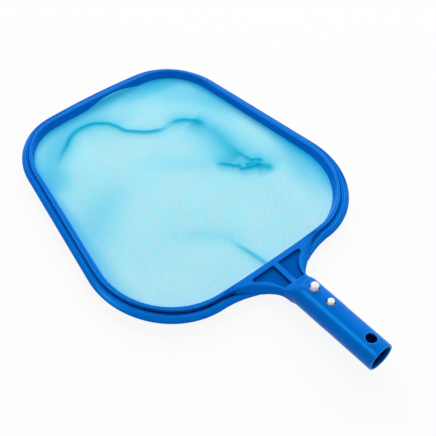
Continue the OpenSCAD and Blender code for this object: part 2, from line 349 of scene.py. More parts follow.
# The edge's measures along the gusset, by distance from the middle line: the lip's distance inwards
# and depth, the groove's floor from and to, its depth, where the bead's top starts, and how much
# painted shade darkens the groove's floor. A low rib stands between lip and groove
EDGE_KEYS = {
    17.0: (0.2, 6.7, 0.5, 0.8, 6.8, 2.6, 0.2),
    22.0: (0.2, 6.7, 0.5, 0.8, 6.8, 4.0, 0.3),
    30.0: (0.3, 6.6, 0.7, 1.0, 6.7, 6.3, 0.5),
    35.0: (0.7, 6.2, 1.3, 1.7, 6.5, 7.6, 0.7),
    38.0: (1.1, 5.8, 1.9, 2.6, 6.2, 8.3, 0.85),
    44.0: (2.2, 5.0, 3.8, 4.8, 5.7, 8.9, 1.0),
    52.0: (3.8, 4.1, 5.9, 7.0, 5.2, 9.2, 1.0),
    62.0: (5.1, 3.4, 7.3, 8.7, 4.9, 9.6, 1.0),
    GUSSET_HALF: (5.3, 3.3, 7.5, 9.1, 4.9, 9.9, 1.0),
}

# The same at the middle of the rim's near corner, and along its side and far side
NEAR_KEY = (6.0, 3.2, 8.5, 10.1, 4.4, 10.9, 1.0)
SIDE_KEY = (3.9, 3.2, 6.0, 6.6, 4.4, 7.1, 0.30)

# Where the bead's top ends inwards, by length along the rim past the near corner's start. The
# bead is widest round the near corners and narrowest round the far ones
BEAD_INNER = [
    (-GUSSET_HALF, 11.6), (-30.0, 11.8), (0.0, 12.8), (20.0, 13.8), (38.0, 14.2),
    (60.0, 14.0), (100.0, 13.2), (147.0, 12.4), (214.0, 12.0), (270.0, 11.2),
    (300.0, 10.0), (325.0, 9.3), (350.0, 9.6), (374.0, 10.5), (430.0, 11.3),
]
KEY_WINDOW = 9


def bead_inner(length):
    """The distance inwards at which the bead's top ends: straight between the keys, then averaged
    over 24 mm of length."""
    at, value = np.array(BEAD_INNER).T
    return np.mean([np.interp(length + shift, at, value) for shift in np.linspace(-12, 12, 9)], axis=0)


def foot_out(length):
    """How far the inner wall's foot stands out, straight between the keys."""
    return np.interp(length, *np.array(FOOT_OUT).T)


def edge_table(path):
    """The edge's seven measures at each point of the right half's path, between the keys by length
    along the path, then averaged over a short stretch so that nothing kinks. Gives them with the
    lengths and the number of the point where the near corner starts."""
    length = lengths_along(path)
    near = np.argmin(np.abs(path[:, 0] - GUSSET_HALF) + 10 * (path[:, 1] > RIM_NEAR_Y + 2))
    places = [float(np.interp(x, path[:near + 1, 0], length[:near + 1])) for x in EDGE_KEYS]
    corner = length[near] + NEAR_RADIUS * 0.9
    side = length[near] + NEAR_RADIUS * (math.pi / 2 + SIDE_LEAN)
    places += [corner, side + 10.0, length[-1]]
    values = np.array([*EDGE_KEYS.values(), NEAR_KEY, SIDE_KEY, SIDE_KEY])
    ends = KEY_WINDOW // 2
    kernel = np.ones(KEY_WINDOW) / KEY_WINDOW
    table = [np.pad(np.interp(length, places, column), ends, mode="edge") for column in values.T]
    return np.stack([np.convolve(column, kernel, "valid") for column in table], -1), length, near


# The section's corners run from the skirt's foot up over the lip (6), the rib (7, 8), the groove's
# floor (9, 10) and the bead's top (11 to 13), and down the inner wall. For each of them: how much
# painted shade it takes as the matt outer face and as the groove, and, by point of the rounded
# corner, how much painted highlight it takes as a crest
OUTER_SHADE_SHARE = [0.5] * 5 + [0.3] + [0.0] * 12
GROOVE_SHADE_SHARE = [0.0] * 7 + [0.3, 0.0, 0.9, 0.9] + [0.0] * 7
PAINTED_HIGHLIGHT_SHARE = np.zeros((len(OUTER_SHADE_SHARE), CORNER_STEPS))
PAINTED_HIGHLIGHT_SHARE[6] = 0.35
PAINTED_HIGHLIGHT_SHARE[8] = 0.55
PAINTED_HIGHLIGHT_SHARE[11] = (0.2, 0.6, 0.7, 0.3)
PAINTED_HIGHLIGHT_SHARE[13] = (0.2, 0.7, 0.4, 0.0)

# The way that the outer face looks, seen from above, where it is most matt and takes the most painted shade
OUTER_SHADE_SIDE = (0.74, 0.67)


def make_frame_edge():
    """The skirt, lip, rib, groove and bead. The section has 18 corners. On the gusset the lip slides
    out to the edge and sinks, and the groove's inner wall leans into a broad flank; there the
    section's inner side draws back into the plate, and the two ends sink into the solid."""
    half = resampled(np.concatenate([gusset_edge, half_rim[1:]]), PATH_STEP)
    half = half[(half[:, 0] > SWEEP_START) | (half[:, 1] > RIM_NEAR_Y + 20)]
    table, length, near = edge_table(half)
    lip, lip_drop, floor_out, floor_in, floor_drop, bead, dark = table.T
    on_gusset = smoothed((length[near] + 1.0 - length) / 7.0)
    buried = smoothed((36.0 - half[:, 0]) / 8.0) * (np.arange(len(half)) < near)

    def mix(rim, gusset):
        return rim + (gusset - rim) * on_gusset

    gap = floor_out - lip
    skirt_top = np.minimum(-6.1, -lip_drop - 0.25)
    rim_inner = bead_inner(length - length[near])
    foot = rim_inner + foot_out(length - length[near])
    inner_top = mix(rim_inner, np.minimum(bead + 1.4, 10.2))
    inner = mix(rim_inner + 0.6, np.minimum(bead + 1.7, 10.5))
    sections = rounded(len(half), [
        (mix(lip + 2.6, 8.2), -mix(FOOT_DROP, SKIRT_DROP), 0.2),
        (mix(lip + 2.6, 5.2), -mix(6.0, SKIRT_DROP), 0.5),
        (1.6, -SKIRT_DROP, 0.3),
        (0.0, -SKIRT_DROP, 0.5),
        (0.05, skirt_top, 0.8),
        (np.maximum(lip * 0.5, 0.12), -lip_drop - np.minimum(1.0, lip * 0.25), 1.8),
        (lip, -lip_drop, 0.35),
        (lip + 0.35 * gap, -lip_drop - 0.5 * gap, 0.25),
        (lip + 0.68 * gap, -lip_drop - 0.08 * gap, 0.35),
        (floor_out, -floor_drop, 0.25),
        (floor_in, -floor_drop, 0.3),
        (bead, -0.3, 0.9),
        ((bead + inner_top) / 2, 0.0, 1.8),
        (inner_top, -mix(0.25, 0.02), 1.7),
        (inner, -mix(4.0, 2.2), 2.0),
        (mix(foot - 0.4, inner), -mix(7.6, 6.0), 0.4),
        (mix(foot, inner), -mix(8.0, 7.2), 0.15),
        (mix(foot, inner - 0.4), -mix(FOOT_DROP, SKIRT_DROP), 0.1),
    ])
    sections[..., 0] += 1.2 * buried[:, None]
    sections[..., 1] += (-SKIRT_DROP / 2 - sections[..., 1]) * 0.2 * buried[:, None]
    sections[..., 1] += BEAD_Z
    path = both_halves(half)
    normals = inward(path)
    piece = sweep("frame_edge", path, normals, there_and_back(sections), closed=False)

    # The right-hand side near the gusset gets painted light: its groove's painted shade is paler, its
    # painted highlights stronger, and its flank lighter
    turned_away = smoothed(-(normals @ np.array(OUTER_SHADE_SIDE)) / 0.5)[:, None]
    lit_right = (smoothed(path[:, 0] / 20.0) * smoothed((215.0 - path[:, 1]) / 50.0))[:, None]
    groove_shade = there_and_back(dark)[:, None] * (1.0 - 0.6 * lit_right)
    on_rim = 1.0 - there_and_back(on_gusset)[:, None]
    lit_flank = lit_right * (1.0 - on_rim)
    # Painted shade on the outer faces that turn away, which are also made matt
    matt = np.repeat(OUTER_SHADE_SHARE, CORNER_STEPS)[None] * turned_away
    painted_shade = matt + np.repeat(GROOVE_SHADE_SHARE, CORNER_STEPS)[None] * groove_shade
    # Painted highlights along the crests
    painted_highlight = PAINTED_HIGHLIGHT_SHARE.ravel()[None] * np.maximum(on_rim, lit_right) * (1.0 + 0.7 * lit_right)
    store(piece, "painted_shade", painted_shade + 0.15 * lit_flank)
    store(piece, "painted_highlight", painted_highlight + 0.3 * lit_flank)
    return piece


BAR_OVERLAP = 7.0
BAR_MIDDLE = (11.0, -4.0)


def make_gusset_bar():
    """The inner side of the bead along the gusset, straight between the rim's near corners. Its
    ends run on a little way inside the rim's bead, where the section draws in a sixteenth of the
    way to its middle."""
    corner = near_corner[near_corner[:, 0] < GUSSET_HALF + BAR_OVERLAP]
    straight = resampled([(0.0, RIM_NEAR_Y), (GUSSET_HALF, RIM_NEAR_Y)], 2.0)
    path = np.concatenate([straight, corner[1:]])
    path = resampled(np.concatenate([(path[::-1] * [-1.0, 1.0])[:-1], path]), PATH_STEP)
    length = lengths_along(path)
    past = np.abs(length - length[-1] / 2) - GUSSET_HALF
    end = bead_inner(past)
    foot = end + foot_out(past)
    start = 8.4 + 1.7 * smoothed((np.abs(path[:, 0]) - 38.0) / 20.0)
    sections = rounded(len(path), [
        (start, -7.9, 0.3),
        (start, -0.5, 0.3),
        (start + 0.5, -0.02, 0.5),
        (end, -0.2, 1.7),
        (end + 0.6, -4.0, 2.0),
        (foot - 0.4, -7.6, 0.4),
        (foot, -8.0, 0.15),
        (foot, -FOOT_DROP, 0.1),
        (start + 0.3, -FOOT_DROP, 0.3),
    ])
    sunk = 0.0625 * smoothed((np.abs(path[:, 0]) - 66.0) / 3.0)
    sections += (np.array(BAR_MIDDLE) - sections) * sunk[:, None, None]
    sections[..., 1] += BEAD_Z
    return sweep("gusset_bar", path, inward(path), sections, closed=False)


# ---------- handle: tube, neck and gusset


def soft_max(a, b, k):
    """The greater of two values, with a parabola of width k where they meet."""
    return np.maximum(a, b) + np.maximum(k - np.abs(a - b), 0.0) ** 2 / (4.0 * k)


def soft_min(a, b, k):
    """The lesser of two values, with a parabola of width k where they meet."""
    return -soft_max(-a, -b, k)


TABLE_STEP = 0.25
TABLE_LOW = (-1.0, 90.0)
TABLE_SIZE = (320, 240)


def distance_table():
    """How far each point of a flat grid lies inside the gusset's right-hand edge: the distance to
    the nearest of the edge's short straight pieces, negative on its right."""
    path = resampled(np.concatenate([gusset_edge, [(90.0, RIM_NEAR_Y)]]), 1.2)
    points = (TABLE_LOW + TABLE_STEP * np.indices(TABLE_SIZE).reshape(2, -1).T)[:, None]
    a, b = path[:-1], path[1:]
    along = b - a
    t = np.clip(((points - a) * along).sum(-1) / (along**2).sum(-1), 0, 1)
    away = points - (a + t[..., None] * along)
    distance = np.linalg.norm(away, axis=-1)
    nearest = distance.argmin(1)
    pick = np.arange(len(points))
    cross = (along[nearest, 0] * (points[:, 0, 1] - a[nearest, 1])
             - along[nearest, 1] * (points[:, 0, 0] - a[nearest, 0]))
    return (distance[pick, nearest] * np.sign(cross)).reshape(TABLE_SIZE)


edge_distances = distance_table()


def edge_distance(x, y):
    """The distance inside the gusset's edge, between the table's values."""
    u = np.clip((np.abs(x) - TABLE_LOW[0]) / TABLE_STEP, 0, TABLE_SIZE[0] - 1.001)
    v = np.clip((y - TABLE_LOW[1]) / TABLE_STEP, 0, TABLE_SIZE[1] - 1.001)
    i, j = u.astype(int), v.astype(int)
    u, v = u - i, v - j
    t = edge_distances
    return ((1 - u) * (1 - v) * t[i, j] + u * (1 - v) * t[i + 1, j]
            + (1 - u) * v * t[i, j + 1] + u * v * t[i + 1, j + 1])


# The gusset's flank, by distance from the middle line: how far inside the edge its top and its
# foot lie, and how far it drops between them
FLANK_X = [17.0, 22.0, 28.0, 33.0, 38.0, 44.0, 52.0, 62.0, 75.0]
FLANK_TOP = [2.6, 4.0, 5.7, 7.3, 8.5, 9.1, 9.5, 9.9, 10.4]
FLANK_START = [0.3, 0.3, 0.4, 1.1, 2.0, 4.0, 6.6, 8.5, 9.0]
FLANK_DROP = 6.6
PLATE_SUNK = 0.03
PLATE_HALF = 67.4
PLATE_START = 96.0

POCKET_RIB = 3.0
POCKET_HALF = 31.0
POCKET_TOP = 133.9
POCKET_FOOT = 108.4
POCKET_CENTRE = (39.9, 104.6)
POCKET_SIDE_RADIUS = 27.0
POCKET_DEPTH = 3.6


def plate_field(x, y, z):
    """The gusset's plate: below its top, above its underside, inside its edge and under the flank,
    a plane in distance and height that rises from the skirt to the top. Where the frame's edge
    lies over it, the plate stays a little inside."""
    d = edge_distance(x, y)
    inset = 0.9 * smoothed((np.abs(x) - 29.0) / 9.0)
    start = np.interp(np.abs(x), FLANK_X, FLANK_START)
    run = np.interp(np.abs(x), FLANK_X, FLANK_TOP) - start
    flank = (-(d - start) * FLANK_DROP + (z - BEAD_Z + FLANK_DROP) * run) / np.hypot(FLANK_DROP, run)
    upper = soft_max(z - BEAD_Z + PLATE_SUNK, flank, 1.2)
    side = soft_max(upper, inset - d, 0.4)
    lower = soft_max(side, SKIRT_Z + 0.02 - z, 0.5)
    lower = soft_max(lower, np.abs(x) - PLATE_HALF, 0.5)
    return np.maximum(np.maximum(lower, y - RIM_NEAR_Y - 9.5), PLATE_START - y)


def on_tube(y, z):
    """A point's length along the tube from its mouth, and its height over the tube's axis."""
    c, s = math.cos(TUBE_TILT), math.sin(TUBE_TILT)
    return y * c - z * s, y * s + z * c


def tube_field(x, y, z):
    """The tube and neck: a round bar with a soft shoulder, cut by the slope above and by the rise
    of the underside."""
    along, up = on_tube(y, z)
    shoulder = smoothed((along - SPIGOT_LENGTH) / 9.0 + 0.5)
    radius = SPIGOT_RADIUS + (TUBE_RADIUS - SPIGOT_RADIUS) * shoulder
    bar = soft_max(np.hypot(x, up) - radius, -along, 0.9)
    slope = (y - SLOPE_TOP[0]) * math.sin(NECK_SLOPE) + (z - SLOPE_TOP[1]) * math.cos(NECK_SLOPE)
    bar = soft_max(bar, np.minimum(slope, z - BEAD_Z + 3.0), 6.0)
    under = (y - RIM_NEAR_Y + UNDER_END) * math.sin(UNDER_SLOPE) - (z - SKIRT_Z) * math.cos(UNDER_SLOPE)
    return soft_max(bar, under, 3.0)


def hollow_field(x, y, z):
    """The bore and the three holes across it, as one shape to take away."""
    along, up = on_tube(y, z)
    hollow = soft_max(np.hypot(x, up) - BORE_RADIUS, along - BORE_LENGTH, 1.0)
    for place, radius in (HANG_HOLE, LOCK_HOLE, RELEASE_HOLE):
        hollow = soft_min(hollow, np.hypot(x, along - place) - radius, 0.3)
    return hollow


def pocket_field(x, y, z):
    """A pocket on each side of the middle rib: between the rib, the outer end, the foot and the
    top, outside a circle, and above its floor, with its upright corners rounded."""
    x = np.abs(x)
    flat = soft_max(x - POCKET_HALF, y - POCKET_TOP, 1.6)
    flat = soft_max(flat, POCKET_RIB - x, 1.6)
    flat = soft_max(flat, POCKET_FOOT - y, 1.2)
    circle = POCKET_SIDE_RADIUS - np.hypot(x - POCKET_CENTRE[0], y - POCKET_CENTRE[1])
    flat = soft_max(flat, circle, 1.2)
    return soft_max(flat, BEAD_Z - POCKET_DEPTH - z, 0.9)


def handle_field(x, y, z):
    """Negative inside the handle: the tube and the plate run together, less the pockets, the bore
    and the holes."""
    body = soft_min(tube_field(x, y, z), plate_field(x, y, z), 5.0)
    body = soft_max(body, -pocket_field(x, y, z), 0.7)
    return soft_max(body, -hollow_field(x, y, z), 0.5)


def surface_of(field, low, high, step):
    """The surface on which a field is zero. The field is worked out on a grid. Each cell that the
    surface crosses has one point, the mean of where its edges are crossed, and each crossed grid
    edge has one quad between the four cells round it. The points then move onto the surface along
    the field's slope."""
    counts = [int(math.ceil((h - l) / step)) + 1 for l, h in zip(low, high)]
    axes = [l + step * np.arange(n) for l, n in zip(low, counts)]
    values = field(*np.meshgrid(*axes, indexing="ij"))
    inside = values < 0
    corners = np.indices((2, 2, 2)).reshape(3, -1).T
    cell_shape = tuple(n - 1 for n in counts)
    total = np.zeros(cell_shape, np.int8)
    for i, j, k in corners:
        total += inside[i:i + cell_shape[0], j:j + cell_shape[1], k:k + cell_shape[2]]
    cells = np.argwhere((total > 0) & (total < 8))
    at = cells[:, None, :] + corners[None]
    corner_values = values[at[..., 0], at[..., 1], at[..., 2]]
    place = np.zeros((len(cells), 3))
    hits = np.zeros(len(cells))
    for a in range(8):
        for b in range(a + 1, 8):
            if np.abs(corners[a] - corners[b]).sum() != 1:
                continue
            va, vb = corner_values[:, a], corner_values[:, b]
            crossed = (va < 0) != (vb < 0)
            t = np.where(crossed, va / np.where(crossed, va - vb, 1.0), 0.0)
            place += crossed[:, None] * (corners[a] + t[:, None] * (corners[b] - corners[a]))
            hits += crossed
    points = np.array(low) + step * (cells + place / hits[:, None])

    number = np.full(cell_shape, -1, np.int64)
    number[tuple(cells.T)] = np.arange(len(cells))
    quads = []
    for axis in range(3):
        ends = -np.diff(inside.astype(np.int8), axis=axis)
        edges = np.argwhere(ends)
        way = ends[tuple(edges.T)]
        b, c = (axis + 1) % 3, (axis + 2) % 3
        around = []
        for db, dc in ((1, 1), (0, 1), (0, 0), (1, 0)):
            cell = edges.copy()
            cell[:, b] -= db
            cell[:, c] -= dc
            around.append(number[tuple(cell.T)])
        quad = np.stack(around, -1)
        quads.append(np.where((way > 0)[:, None], quad, quad[:, ::-1]))
    h = 0.04
    for _ in range(4):
        value = field(*points.T)
        slope = np.stack([
            (field(*(points + h * e).T) - field(*(points - h * e).T)) / (2 * h) for e in np.eye(3)
        ], -1)
        move = value[:, None] * slope / np.maximum((slope**2).sum(1), 0.2)[:, None]
        points -= np.clip(move, -0.25 * step, 0.25 * step)
    return points, np.concatenate(quads)


HANDLE_STEP = 0.58
HANDLE_LOW = (-71.3, -2.7, -23.0)
HANDLE_HIGH = (71.3, RIM_NEAR_Y + 10.3, 15.2)


def make_handle():
    """The handle's smooth solid. Its bore and pockets take painted shade and are made matt. The rim of
    its mouth and the ring round the hanging hole take painted highlights, and the right-hand flank painted
    light."""
    points, quads = surface_of(handle_field, HANDLE_LOW, HANDLE_HIGH, HANDLE_STEP)
    piece = make_piece("handle_body", points, quads.tolist(), smooth_angle=50)
    x, y, z = points.T
    along, up = on_tube(y, z)
    # Painted shade deep in the bore
    inside = smoothed((BORE_RADIUS + 0.9 - np.hypot(x, up)) / 0.6) * smoothed(along / 4.0)
    inside *= smoothed((BORE_LENGTH + 2.0 - along) / 2.0)
    # Painted shade on the pockets' walls, less on their floors
    sunk = smoothed((BEAD_Z - 0.3 - z) / 1.0) * (np.abs(pocket_field(x, y, z)) < 0.4)
    floor = smoothed((BEAD_Z - POCKET_DEPTH + 0.9 - z) / 0.7)
    # Painted light on the right-hand flank
    flank = (edge_distance(x, y) < 8.0) & (z > -16.0) & (y > PLATE_START)
    lit_flank = smoothed((x - 12.0) / 3.0) * flank
    painted_shade = np.maximum(inside, (0.95 - 0.6 * floor) * sunk)
    store(piece, "painted_shade", np.maximum(painted_shade, 0.15 * lit_flank))
    # Painted highlights on the mouth's rim and round the hanging hole
    mouth = smoothed((1.2 - along) / 0.8) * smoothed((np.hypot(x, up) - BORE_RADIUS + 0.6) / 0.5)
    hole = bell((np.hypot(x, along - HANG_HOLE[0]) - HANG_HOLE[1] - 0.35) / 0.6) * (up > 8.0)
    store(piece, "painted_highlight", np.maximum(np.maximum(0.7 * mouth, hole), 0.6 * lit_flank))
    return piece


# ---------- buttons on the spring clip

BUTTON_STEPS = 10

# Each kind of button: its place along the tube, its radius, its edge's rounding and its dome
BUTTONS = {
    "release_button": (RELEASE_HOLE[0], 4.0, 1.5, 0.6),
    "lock_pin": (LOCK_HOLE[0], 3.4, 1.3, 0.5),
}


def tube_place(along, up):
    """A point on the tube's middle plane, from its mouth and its axis."""
    return (0.0, along * math.cos(TUBE_TILT) + up * math.sin(TUBE_TILT),
            -along * math.sin(TUBE_TILT) + up * math.cos(TUBE_TILT))


def button_profile(radius, foot, top, edge, crown):
    """Half a button's section: flat underside, straight side, an edge rounded by a quarter circle,
    and a dome of height crown over the top."""
    a = np.linspace(0, math.pi / 2, BUTTON_STEPS)
    side = [(0.0, foot), (radius - 0.2, foot), (radius, foot + 0.2)]
    round_edge = np.stack([radius - edge + edge * np.cos(a), top - crown - edge + edge * np.sin(a)], -1)
    r = np.linspace(radius - edge, 0, BUTTON_STEPS)[1:]
    dome = np.stack([r, top - crown * (r / (radius - edge)) ** 2], -1)
    return np.concatenate([side, round_edge, dome])


def make_buttons():
    """The four white buttons: a lathed knob on each arm for the release and for the lock. Each
    runs from the foot to the top of its solid, along the line from the tube's axis."""
    made = []
    for arm, side in (("top", 1.0), ("bottom", -1.0)):
        for kind, (place, radius, edge, crown) in BUTTONS.items():
            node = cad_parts[f"{kind}_{arm}"]
            corners = np.empty(len(node.data.vertices) * 3)
            node.data.vertices.foreach_get("co", corners)
            centre = np.array(tube_place(place, 0.0))
            axis = side * np.array(tube_place(0.0, 1.0))
            off = corners.reshape(-1, 3) / MM - centre
            along = off @ axis
            foot = along[np.linalg.norm(off - along[:, None] * axis, axis=1) > radius - 0.1].min()
            profile = button_profile(radius, foot, along.max(), edge, crown)
            piece = lathe(f"{kind}_{arm}_knob", profile, centre, axis)
            made.append((piece, node.name, arm))
    return made


# ---------- net


NET_STEP = 1.2
NET_EDGE = 8.8
NET_CELLS = 270
HEM_HIDDEN = 3.6
HEM_LIFT = 5.2
HEM_LIFT_X = 17.0
HEM_LIFT_HALF = 42.0

# How deep the painted shade of the walls is on the net along the hem, by share of each side's
# length: the share, the depth at the wall, and the distance over which it dies away
HEM_SHADE_TONES = {
    "right": [(0.0, 0.55, 13), (0.08, 0.75, 17), (0.17, 0.95, 23), (0.27, 1.0, 24),
              (0.34, 1.0, 20), (0.42, 0.95, 14), (0.49, 0.9, 11), (0.66, 0.85, 9),
              (0.78, 0.9, 11), (0.92, 1.0, 15), (1.0, 1.0, 16)],
    "far": [(0.0, 0.95, 11), (0.2, 0.95, 13), (0.46, 0.95, 13), (0.58, 0.95, 11),
            (0.76, 0.95, 13), (0.9, 1.0, 17), (1.0, 1.0, 16)],
    "left": [(0.0, 0.0, 6), (0.15, 0.40, 11), (0.38, 0.55, 17), (0.55, 0.58, 15),
             (0.69, 0.60, 10), (0.87, 0.75, 9), (1.0, 0.95, 11)],
}

# The net's creases: a run of points seen from above, then the width of the ridge, the width of
# the slack beside it, the ridge's height, how much the colour deepens on the ridge, by bunched
# threads and painted shade, and beside it, by painted shade, and the lengths over which the
# crease dies away at its start and its end
CREASES = [
    ([(-97, 345), (-90, 357), (-79, 366), (-65, 375), (-53, 383), (-42, 386), (-32, 386),
      (-24, 384.5), (-18, 381), (-11, 375.5), (-6, 367), (-3, 358.5), (5, 351), (13.5, 344),
      (23.5, 339), (34, 337), (46, 337)], 2.6, 8.5, 0.8, 0.90, 0.32, 52, 24),
    ([(28, 338), (43, 338), (53, 336.5), (62, 331), (69, 322), (74, 311)],
     3.2, 11.0, 0.7, 0.88, 0.42, 26, 14),
    ([(64, 330), (70, 314), (74, 303), (74, 293), (72, 281), (70, 269), (71, 258)],
     5.5, 14.0, 0.4, 0.52, 0.42, 5, 5),
    ([(75, 290), (74, 276), (74.5, 264), (76.5, 257), (78.5, 250), (84, 246), (90, 240.5)],
     2.3, 8.0, 0.6, 0.90, 0.38, 42, 5),
    ([(42, 270), (48.5, 264), (55, 257.5), (60, 252), (66, 248)],
     2.2, 8.0, 0.6, 0.92, 0.40, 12, 4),
    ([(57.5, 248), (67.5, 243.5), (77, 240.5), (83, 241)], 2.2, 8.0, 0.6, 0.92, 0.40, 5, 4),
    ([(76, 242), (83, 237), (86.5, 232.5), (87.5, 228), (88, 222)],
     4.4, 11.0, 0.6, 0.84, 0.46, 5, 10),
    ([(66, 247.5), (74, 246), (80, 243)], 1.8, 6.0, 0.4, 0.80, 0.30, 4, 4),
    ([(-15, 196), (-10, 184), (-8, 174), (-6, 165), (-4, 155), (-2, 142), (0, 126)],
     2.5, 7.0, 0.6, 0.66, 0.24, 40, 4),
    ([(-107, 326), (-97, 345), (-86, 360)], 6.0, 12.0, 0.4, 0.16, 0.26, 15, 15),
]
CREASE_STEP = 1.5

# Soft patches of painted shade on the net: the middle, the half lengths along and across, the
# turn of the long one in degrees and how much the colour deepens
PAINTED_SHADE_PATCHES = [
    (-106, 272, 28, 22, 60, 0.27), (-72, 292, 30, 22, 10, 0.20), (-76, 378, 40, 17, 35, 0.46),
    (-104, 346, 28, 16, 70, 0.32), (52, 392, 36, 11, -5, 0.50), (74, 368, 26, 18, -30, 0.30),
    (106, 334, 40, 18, -62, 0.42), (68, 288, 42, 26, -75, 0.28), (-22, 200, 34, 9, -37, 0.18),
    (112, 212, 38, 13, 80, 0.27), (-22, 388, 26, 12, 0, 0.30), (18, 284, 34, 10, -36, 0.16),
    (84, 246, 26, 20, -30, 0.28), (60, 262, 22, 11, -48, 0.30), (76, 390, 24, 11, -28, 0.34),
    (0, 373, 34, 9, 0, 0.13),
]


def side_points(closed, start, end, count):
    """The stretch of a closed path between two of its points, as count points at equal lengths."""
    i = np.argmin(np.linalg.norm(closed - start, axis=1))
    j = np.argmin(np.linalg.norm(closed - end, axis=1))
    return spaced(np.roll(closed, -i, axis=0)[: (j - i) % len(closed) + 1], count)


def laid_over(depth, share):
    """Two depths of colour, one over the other: 1 - (1 - depth)(1 - share)."""
    return 1.0 - (1.0 - depth) * (1.0 - share)


def crease_field(x, y):
    """Height and depth of colour of the creases: over each crease line, a ridge whose height falls
    as a bell with the distance from it, and dies away towards the line's ends. The deeper colour is
    partly bunched threads and partly painted shade, and patches of painted shade add an oval bell
    of colour each."""
    height = np.zeros_like(x)
    depth = np.zeros_like(x)
    flat = np.stack([x.ravel(), y.ravel()], -1)
    for run, width, beside, tall, strength, haze, start, end in CREASES:
        line = resampled(curve_through(run, 160), CREASE_STEP)
        best = np.full(len(flat), 1e9)
        where = np.zeros(len(flat))
        for i in range(len(line) - 1):
            a, along = line[i], line[i + 1] - line[i]
            t = np.clip(((flat - a) @ along) / (along @ along), 0, 1)
            distance = np.linalg.norm(flat - a - t[:, None] * along, axis=1)
            closer = distance < best
            best = np.where(closer, distance, best)
            where = np.where(closer, (i + t) / (len(line) - 1), where)
        total = CREASE_STEP * (len(line) - 1)
        fade = smoothed(where * total / start) * smoothed((1 - where) * total / end)
        ridge = bell(best / width) * fade
        wide = bell(best / beside) * fade
        height += (tall * ridge + 0.5 * wide).reshape(x.shape)
        depth = laid_over(depth, ((strength - haze) * ridge + haze * wide).reshape(x.shape))
    # Soft patches of painted shade
    for px, py, long, across, turn, share in PAINTED_SHADE_PATCHES:
        c, k = math.cos(math.radians(turn)), math.sin(math.radians(turn))
        u, v = ((x - px) * c + (y - py) * k) / long, ((y - py) * c - (x - px) * k) / across
        depth = laid_over(depth, share * np.exp(-(u**2 + v**2)))
    return height, depth


def make_net():
    """The net: a patch between four stretches of the outline. The point at (s, t) is the sum of
    the straight blends between the near and far sides and between the left and right sides, less
    the blend of the four corners. It lies flat at the net's height with low creases, and is drawn
    a little way up the far wall. Towards the far, right and left walls painted shade deepens the
    colour as a bell, and a thin line along the top of the lift keeps less of it, as a painted
    highlight. The UV map holds each point's place on the flat net in metres."""
    rim = closed_outline(NET_STEP)
    closed = rim + NET_EDGE * inward(rim, closed=True)
    diagonal = math.sin(math.radians(45)) * np.array([1.0, -1.0])
    near_right = near_centre + (NEAR_RADIUS - NET_EDGE) * diagonal
    far_right = far_centre + (FAR_RADIUS - NET_EDGE) * np.abs(diagonal)
    near_left, far_left = near_right * [-1.0, 1.0], far_right * [-1.0, 1.0]
    n = NET_CELLS + 1
    near = side_points(closed, near_left, near_right, n)
    right = side_points(closed, near_right, far_right, n)
    far = side_points(closed, far_right, far_left, n)[::-1]
    left = side_points(closed, far_left, near_left, n)[::-1]
    s = np.linspace(0, 1, n)[:, None, None]
    t = np.linspace(0, 1, n)[None, :, None]
    flat = ((1 - t) * near[:, None] + t * far[:, None] + (1 - s) * left[None] + s * right[None]
            - (1 - s) * (1 - t) * near[0] - s * (1 - t) * near[-1] - (1 - s) * t * far[0] - s * t * far[-1])
    height, depth = crease_field(flat[..., 0], flat[..., 1])
    s, t = s[..., 0], t[..., 0]
    edge = smoothed(np.minimum(np.minimum(s, 1 - s), np.minimum(t, 1 - t)) / 0.015)
    width = np.linalg.norm(flat[-1] - flat[0], axis=1)[None, :]
    length = np.linalg.norm(flat[:, -1] - flat[:, 0], axis=1)[:, None]
    # Painted shade of the far, right and left walls on the net, deepest at the wall
    hem = np.zeros_like(depth)
    away = {"far": (1 - t) * length, "right": (1 - s) * width, "left": s * width}
    for side, tones in HEM_SHADE_TONES.items():
        at, share, spread = np.array(tones, float).T
        place = s if side == "far" else t
        share, spread = np.interp(place, at, share), np.interp(place, at, spread)
        hem = laid_over(hem, share * bell(np.maximum(away[side] - HEM_HIDDEN, 0.0) / spread))
    middle = smoothed(1.0 - np.abs(flat[..., 0] - HEM_LIFT_X) / HEM_LIFT_HALF)
    height = height + HEM_LIFT * middle * bell(np.maximum(away["far"] - HEM_HIDDEN, 0.0) / 4.5)
    # A thin painted highlight along the top of the lift, where the painted shade is thinned
    hem = hem * (1.0 - 0.45 * middle * bell((away["far"] - HEM_HIDDEN - 1.6) / 0.7))
    slack = 0.25 * np.sin(flat[..., 0] / 23.0 + 1.0) * np.sin(flat[..., 1] / 31.0)
    z = NET_Z + edge * (height + slack + 0.25)
    points = np.concatenate([flat, z[..., None]], -1).reshape(-1, 3)
    piece = make_piece("woven_net", points, grid_faces(n, n)[:, ::-1].tolist())
    mesh = piece.data
    store(piece, "crease", depth * edge)
    store(piece, "hem", hem * edge)
    loops = np.empty(len(mesh.loops), np.int32)
    mesh.loops.foreach_get("vertex_index", loops)
    uv = mesh.uv_layers.new(name="weave")
    uv.data.foreach_set("uv", (points[loops, :2] * MM).astype(np.float32).ravel())
    x, y = closed.T
    area = abs(np.sum(x * np.roll(y, -1) - y * np.roll(x, -1))) / 2 * MM**2
    size = (closed.max(0) - closed.min(0)) * MM
    return piece, tuple(float(v) for v in size), float(area)


def make_net_ring():
    """The ring that holds the net's hem from below: a flat band with rounded edges, carried round
    the rim's outline."""
    path = closed_outline(PATH_STEP)
    out, inside = 7.05, 14.5
    low, high = ring_low[2], ring_high[2]
    sections = rounded(len(path), [
        (out, low, 0.6), (out, high, 0.2), (inside, high, 0.5), (inside, low, 0.8),
    ], steps=6)
    return sweep("retaining_ring", path, inward(path, closed=True), sections, closed=True)


# ---------- materials


